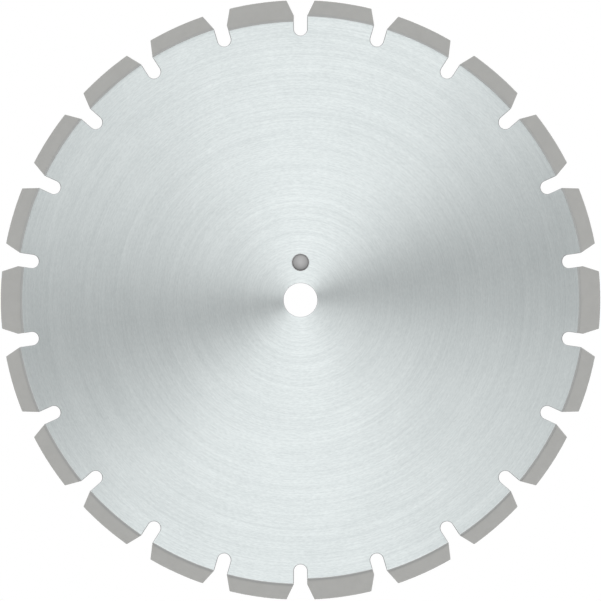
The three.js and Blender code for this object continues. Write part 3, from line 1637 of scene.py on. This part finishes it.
@dataclass(frozen=True)
class Studio:
    """The floor, the soft surrounding light and the camera.

    The light is a dome whose brightness depends on the direction round the spin axis: bright
    above and below, and dim to the sides, which gives ground steel its two dark sectors.

    Attributes:
        floor_level: The floor's height.
        sky: The dome's brightness straight above.
        lower_sky: Its brightness straight below.
        facing: Its brightness along the spin axis.
        axis_fade: Where that gives way to the rest, by the direction's share off the axis.
        flags: The flags and bounce cards.
        floor_size: The floor's side.
        floor_colour: The floor's lighter colour.
        floor_dark_colour: The floor's darker colour.
        view_height: How much the camera sees from bottom to top.
        camera_height: The camera's height above the spin axis.
        camera_distance: How far in front of the blade it stands.
        far_clip: How far it sees.
    """

    floor_level: float
    sky: float = 1.95
    lower_sky: float = 1.07
    facing: float = 0.8
    axis_fade: tuple[float, float] = (0.05, 0.75)
    flags: tuple[Flag, ...] = (
        Flag(77.0, 26.5, 1.16),
        Flag(117.0, 30.0, 0.46),
        Flag(48.0, 9.0, 0.05),
        Flag(62.0, 8.0, -0.05),
        Flag(86.0, 7.0, 0.14),
        Flag(100.0, 12.0, -0.12),
        Flag(138.0, 11.0, 0.055),
    )
    floor_size: float = 24.0
    floor_colour: tuple[float, float, float] = (0.93, 0.93, 0.93)
    floor_dark_colour: tuple[float, float, float] = (0.9, 0.9, 0.9)
    view_height: float = 0.45117
    camera_height: float = -0.00041
    camera_distance: float = 2.0
    far_clip: float = 100.0

    def build_floor(self) -> bpy.types.Object:
        """Builds the pale floor. The blade doesn't see it, so that the dome alone lights it.

        Returns:
            None: mark_backdrop gives nothing back.
        """
        half = self.floor_size / 2
        corners = np.array([(-half, -half), (half, -half), (half, half), (-half, half)])
        points = np.column_stack((corners, np.full(4, self.floor_level)))
        mesh = Mesh()
        mesh.add_faces([mesh.add_points(points).tolist()], FinishNumber.MAIN, smooth=False)
        material, graph, place = new_material("pale_floor")
        tone = (graph.noise(place.point, scale=3.0, detail=3.0) * 0.2 + 0.1).clamped()
        dressing = {
            "Base Color": graph.blend(tone, self.floor_colour, self.floor_dark_colour),
            "Roughness": 0.9,
            "Specular IOR Level": 0.0,
        }
        finish_surface(graph, graph.principled(dressing))
        floor = mesh.build("floor", [material])
        floor.visible_glossy = False
        floor.visible_diffuse = False
        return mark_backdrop(floor)

    def build_light(self) -> None:
        """Builds the dome of light, which the camera sees as plain white.

        Its brightness goes evenly from the lower sky's to the sky's with height, less what
        each flag takes. Towards the spin axis, where the angle round it means nothing, it
        fades into one brightness.
        """
        world = bpy.data.worlds.new("soft_dome")
        bpy.context.scene.world = world
        world.use_nodes = True
        graph = Graph(world.node_tree)
        direction = graph.node("ShaderNodeTexCoord").outputs["Generated"]
        parts = graph.node("ShaderNodeSeparateXYZ", None, {0: direction}).outputs
        x, z = Value(graph, parts[0]), Value(graph, parts[2])
        half_turns = x.math("ARCTAN2", z) * (1.0 / math.pi)
        round_about = (z * 0.5 + 0.5) * (self.sky - self.lower_sky) + self.lower_sky
        for flag in self.flags:
            round_about = round_about - flag.dimming(half_turns)
        off_axis = (x * x + z * z).math("SQRT").between(*self.axis_fade)
        level = off_axis * (round_about - self.facing) + self.facing
        seen = graph.value("ShaderNodeLightPath", None, None, "Is Camera Ray")
        strength = level + seen * (1.0 - level)
        light = graph.node("ShaderNodeBackground", None, {0: (1.0, 1.0, 1.0, 1.0), 1: strength})
        graph.node("ShaderNodeOutputWorld", None, {"Surface": light.outputs[0]})

    def build_camera(self) -> None:
        """Places the camera square in front of the blade."""
        camera = bpy.data.cameras.new("camera")
        camera.type = "ORTHO"
        camera.ortho_scale = self.view_height
        camera.clip_end = self.far_clip
        holder = bpy.data.objects.new("camera", camera)
        holder.location = (0.0, -self.camera_distance, self.camera_height)
        holder.rotation_euler = (math.pi / 2, 0.0, 0.0)
        bpy.context.scene.collection.objects.link(holder)
        bpy.context.scene.camera = holder

    def build(self) -> None:
        """Builds the floor, light and camera."""
        self.build_floor()
        self.build_light()
        self.build_camera()
        bpy.context.scene.view_settings.view_transform = "Standard"


# ---------------------------------------------------------------------------- the blade


@dataclass(frozen=True)
class Finishes:
    """Every finish of the blade, built once.

    The sintered finishes are kept by the base radius of the segments that they are for.
    """

    ground: bpy.types.Material
    cut: bpy.types.Material
    layer: dict[float, bpy.types.Material]
    foot: dict[float, bpy.types.Material]
    grit: bpy.types.Material
    weld: bpy.types.Material
    plug: bpy.types.Material

    @classmethod
    def make(cls, layout: Layout, bases: Sequence[float], plug: PinHolePlug) -> "Finishes":
        """Builds the finishes.

        Args:
            layout: How the rim is divided.
            bases: The segments' base radii.
            plug: The plug, for its size and place.

        Returns:
            The finishes.
        """
        layer = SinteredMetal("sintered_metal", (0.50, 0.50, 0.485), (0.406, 0.406, 0.393))
        foot = SinteredMetal("foot_metal", (0.485, 0.49, 0.483), (0.395, 0.40, 0.395))
        kinds = sorted(set(bases))
        return cls(
            ground=GroundSteel().make(layout.standard_base),
            cut=CutSteel().make(),
            layer={base: layer.make(base, layout.tip) for base in kinds},
            foot={base: foot.make(base, layout.tip) for base in kinds},
            grit=Diamond().make(),
            weld=WeldMetal().make(),
            plug=MouldedPlug().make(plug.radius, plug.height),
        )


def fit(piece: bpy.types.Object, body: Body, slot: Slot, *nodes: str) -> None:
    """Makes a piece ride on its body and hides the nodes it stands for.

    Args:
        piece: The piece.
        body: The body that it rides on.
        slot: The record's slot of its finish. Not used.
        nodes: The frame's nodes that it replaces.
    """
    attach(piece, body.value)
    if nodes:
        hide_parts(*nodes)
    LOG.info("%s: %d faces, on %s", piece.name, len(piece.data.polygons), body.value)


def main() -> None:
    """Builds the studio and then the blade from its core outwards."""
    logging.basicConfig(level=logging.INFO, format="%(name)s: %(message)s")
    Studio(floor_level=CAD_BOX[0][2]).build()
    layout = Layout.from_frame()
    segments = [Segment.from_frame(layout, index) for index in range(layout.count)]
    bases = [segment.base for segment in segments]
    plug = PinHolePlug.from_frame()
    finishes = Finishes.make(layout, bases, plug)
    core = SteelCore.from_frame(layout)
    fit(core.build(bases, [finishes.ground, finishes.cut]), Body.BLADE, Slot.CORE, "steel_core")
    for segment in segments:
        layer = segment.build_cutting_layer([finishes.layer[segment.base], finishes.grit])
        fit(layer, Body.BLADE, Slot.SEGMENT, segment.name)
        foot = segment.build_foot(finishes.foot[segment.base])
        fit(foot, Body.BLADE, Slot.FOOT, numbered("segment_foot", segment.index))
        seam = WeldSeam(segment, core.half).build(finishes.weld)
        fit(seam, Body.BLADE, Slot.CORE)
    fit(plug.build(finishes.plug), Body.PLUG, Slot.PLUG, "pin_hole_plug")


if __name__ == "__main__":
    main()
